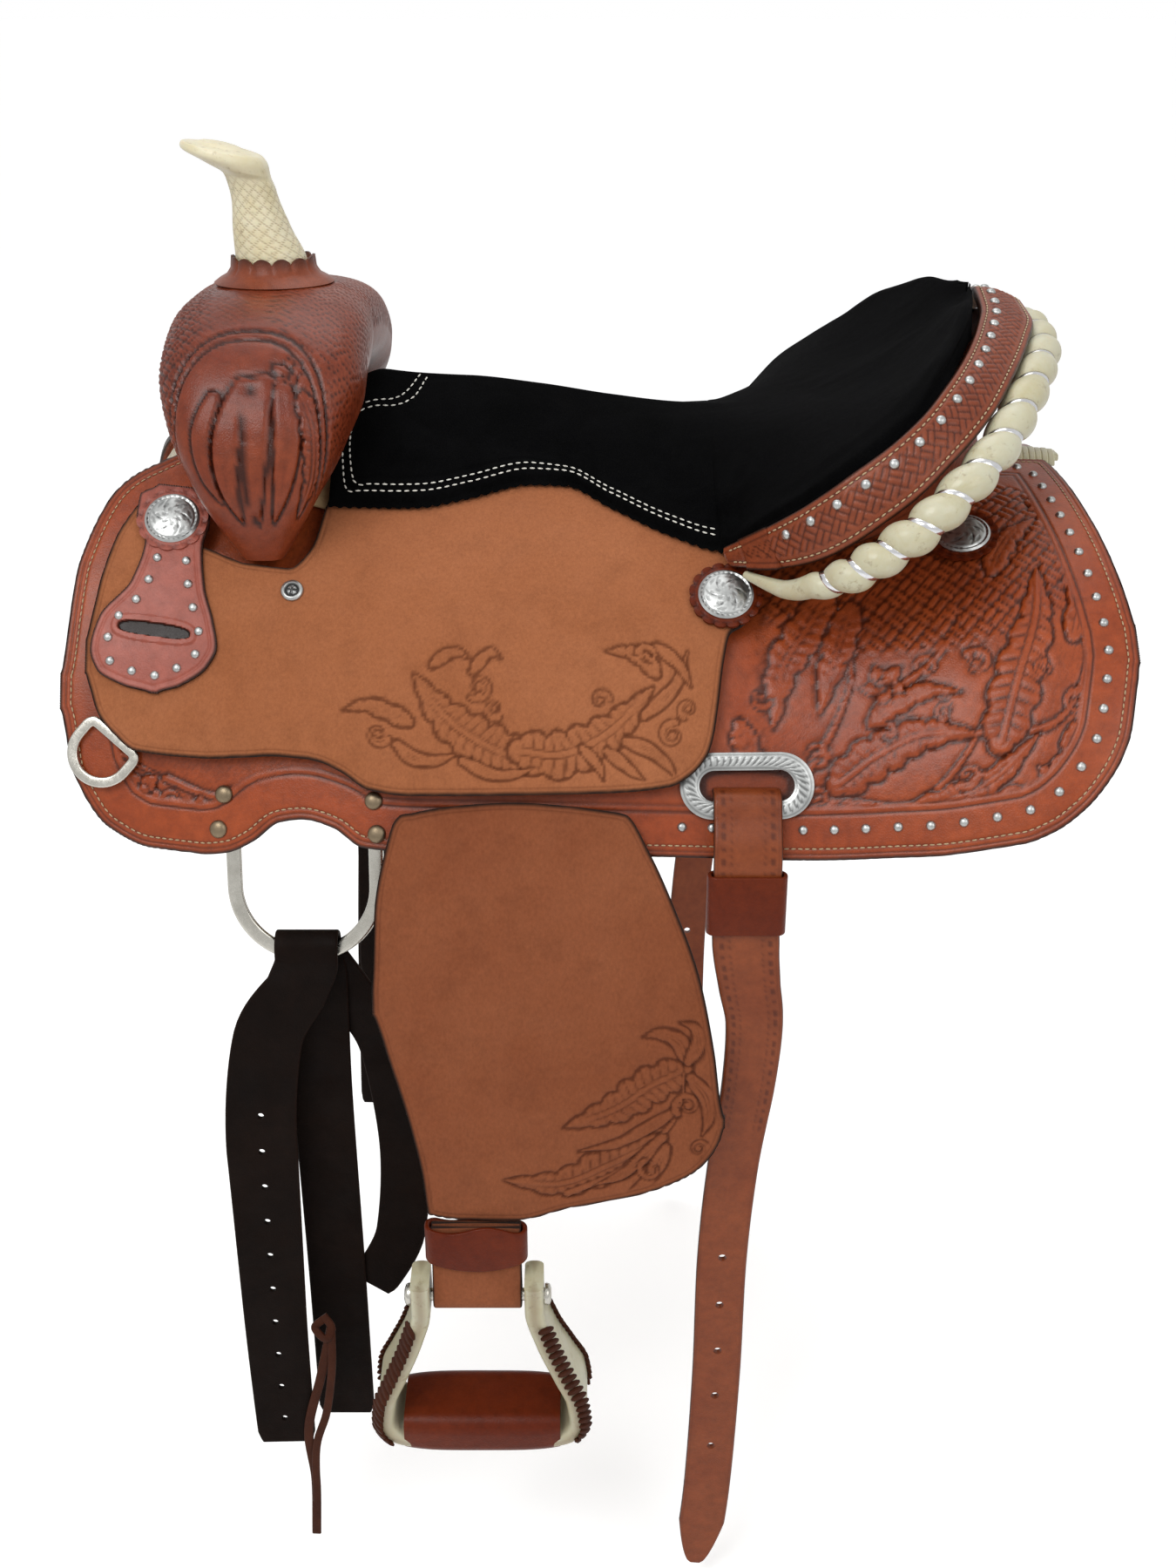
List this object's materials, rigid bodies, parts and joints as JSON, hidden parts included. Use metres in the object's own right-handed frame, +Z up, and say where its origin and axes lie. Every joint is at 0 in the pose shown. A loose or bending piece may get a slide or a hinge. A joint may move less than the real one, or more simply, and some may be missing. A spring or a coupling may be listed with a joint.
{
  "type": "western saddle",
  "caption": "Western riding saddle: padded suede seat on a wooden tree, rawhide horn and cantle roll, square tooled skirts, roughout fenders, swinging stirrups and hanging straps.",
  "frame": {"origin": "middle of the flat underside of the ground seat, in the channel between the tree bars, on the centre plane", "axes": "+X towards the cantle (rear), -X towards the horn (front), -Y near (left) side, +Z up"},
  "size_m": [0.692, 0.5852, 1.0243],
  "materials": {
    "tree_wood": "raw",
    "horn_steel": "raw",
    "rawhide": "satin",
    "horn_rawhide": "satin",
    "tooled_leather": "tooled, satin",
    "dark_tooled_leather": "tooled, satin",
    "roughout_leather": "roughout, matte",
    "fender_leather": "roughout, matte",
    "skirt_leather": "tooled, glossy",
    "strap_leather": "smooth, satin",
    "latigo_leather": "oiled, satin",
    "suede": "suede, matte",
    "ground_leather": "raw",
    "fleece": "wool pile",
    "nickel": "polished nickel",
    "engraved_silver": "engraved"
  },
  "bodies": {
    "saddle": {"tree_fork": "tree_wood", "tree_cantle": "tree_wood", "tree_bar_left": "tree_wood", "tree_bar_right": "tree_wood", "horn_core": "horn_steel", "horn_wrap": "horn_rawhide", "horn_collar": "tooled_leather", "swell_cover": "dark_tooled_leather", "ground_seat": "ground_leather", "seat_cover": "suede", "seat_jockey_left": "roughout_leather", "seat_jockey_right": "roughout_leather", "cantle_binding": "dark_tooled_leather", "cantle_roll": "rawhide", "cantle_back": "tooled_leather", "skirt_left": "skirt_leather", "skirt_right": "skirt_leather", "fleece_left": "fleece", "fleece_right": "fleece", "skirt_lacing": "rawhide", "rear_slot_plate_left": "engraved_silver", "rear_slot_plate_right": "engraved_silver", "front_concho_left": "engraved_silver", "front_concho_right": "engraved_silver", "jockey_rosette_left": "tooled_leather", "jockey_rosette_right": "tooled_leather", "jockey_concho_left": "engraved_silver", "jockey_concho_right": "engraved_silver", "rear_rosette_left": "tooled_leather", "rear_rosette_right": "tooled_leather", "rear_concho_left": "engraved_silver", "rear_concho_right": "engraved_silver", "seat_screw_left": "nickel", "seat_screw_right": "nickel", "latigo_keeper_left": "tooled_leather", "latigo_keeper_right": "tooled_leather"},
    "leather_left": {"stirrup_leather_left": "ground_leather"},
    "fender_left": {"fender_left": "fender_leather", "hobble_strap_left": "strap_leather", "stirrup_neck_left": "fender_leather"},
    "stirrup_left": {"stirrup_frame_left": "rawhide", "stirrup_tread_left": "strap_leather", "stirrup_bolt_left": "nickel"},
    "rigging_dee_left": {"rigging_dee_left": "nickel"},
    "breast_dee_left": {"breast_dee_left": "nickel"},
    "rear_billet_left": {"rear_billet_left": "strap_leather"},
    "billet_keeper_left": {"billet_keeper_left": "strap_leather"},
    "leather_right": {"stirrup_leather_right": "ground_leather"},
    "fender_right": {"fender_right": "fender_leather", "hobble_strap_right": "strap_leather", "stirrup_neck_right": "fender_leather"},
    "stirrup_right": {"stirrup_frame_right": "rawhide", "stirrup_tread_right": "strap_leather", "stirrup_bolt_right": "nickel"},
    "rigging_dee_right": {"rigging_dee_right": "nickel"},
    "breast_dee_right": {"breast_dee_right": "nickel"},
    "rear_billet_right": {"rear_billet_right": "strap_leather"},
    "billet_keeper_right": {"billet_keeper_right": "strap_leather"},
    "latigo": {"latigo": "latigo_leather"},
    "off_billet": {"off_billet": "latigo_leather"}
  },
  "joints": [
    {"name": "fender_swing_left", "type": "hinge", "parent": "saddle", "child": "leather_left", "pos_m": [-0.048, -0.21732, -0.19299], "axis": [0, -0.9008, 0.4343], "range_deg": [-4, 4]},
    {"name": "fender_swing_right", "type": "hinge", "parent": "saddle", "child": "leather_right", "pos_m": [-0.048, 0.21732, -0.19299], "axis": [0, -0.9008, -0.4343], "range_deg": [-4, 4]},
    {"name": "fender_lift_left", "type": "hinge", "parent": "leather_left", "child": "fender_left", "pos_m": [-0.048, -0.21766, -0.1951], "axis": [-1, 0, 0], "range_deg": [0, 50]},
    {"name": "fender_lift_right", "type": "hinge", "parent": "leather_right", "child": "fender_right", "pos_m": [-0.048, 0.21766, -0.1951], "axis": [1, 0, 0], "range_deg": [0, 50]},
    {"name": "stirrup_turn_left", "type": "hinge", "parent": "fender_left", "child": "stirrup_left", "pos_m": [-0.076, -0.276, -0.545], "axis": [-1, 0, 0], "range_deg": [-20, 40]},
    {"name": "stirrup_turn_right", "type": "hinge", "parent": "fender_right", "child": "stirrup_right", "pos_m": [-0.076, 0.276, -0.545], "axis": [1, 0, 0], "range_deg": [-20, 40]},
    {"name": "rigging_dee_tip_left", "type": "hinge", "parent": "saddle", "child": "rigging_dee_left", "pos_m": [-0.187, -0.19277, -0.20909], "axis": [-1, 0, 0], "range_deg": [-10, 5]},
    {"name": "rigging_dee_tip_right", "type": "hinge", "parent": "saddle", "child": "rigging_dee_right", "pos_m": [-0.187, 0.19277, -0.20909], "axis": [1, 0, 0], "range_deg": [-10, 5]},
    {"name": "strap_swing_left", "type": "hinge", "parent": "rigging_dee_left", "child": "latigo", "pos_m": [-0.187, -0.2144, -0.31082], "axis": [-1, 0, 0], "range_deg": [-15, 10]},
    {"name": "strap_swing_right", "type": "hinge", "parent": "rigging_dee_right", "child": "off_billet", "pos_m": [-0.187, 0.2144, -0.31082], "axis": [1, 0, 0], "range_deg": [-15, 10]},
    {"name": "breast_dee_lift_left", "type": "hinge", "parent": "saddle", "child": "breast_dee_left", "pos_m": [-0.309, -0.18173, -0.16776], "axis": [-0.7542, 0.2956, 0.5863], "range_deg": [0, 20]},
    {"name": "breast_dee_lift_right", "type": "hinge", "parent": "saddle", "child": "breast_dee_right", "pos_m": [-0.309, 0.18173, -0.16776], "axis": [0.7542, 0.2956, -0.5863], "range_deg": [0, 20]},
    {"name": "rear_billet_lift_left", "type": "hinge", "parent": "saddle", "child": "rear_billet_left", "pos_m": [0.102, -0.20991, -0.19377], "axis": [-1, 0, 0], "range_deg": [0, 5]},
    {"name": "rear_billet_lift_right", "type": "hinge", "parent": "saddle", "child": "rear_billet_right", "pos_m": [0.102, 0.20991, -0.19377], "axis": [1, 0, 0], "range_deg": [0, 5]},
    {"name": "billet_keeper_slide_left", "type": "slide", "parent": "rear_billet_left", "child": "billet_keeper_left", "axis": [0, 0, -1], "range_m": [0, 0.015]},
    {"name": "billet_keeper_slide_right", "type": "slide", "parent": "rear_billet_right", "child": "billet_keeper_right", "axis": [0, 0, -1], "range_m": [0, 0.015]}
  ]
}
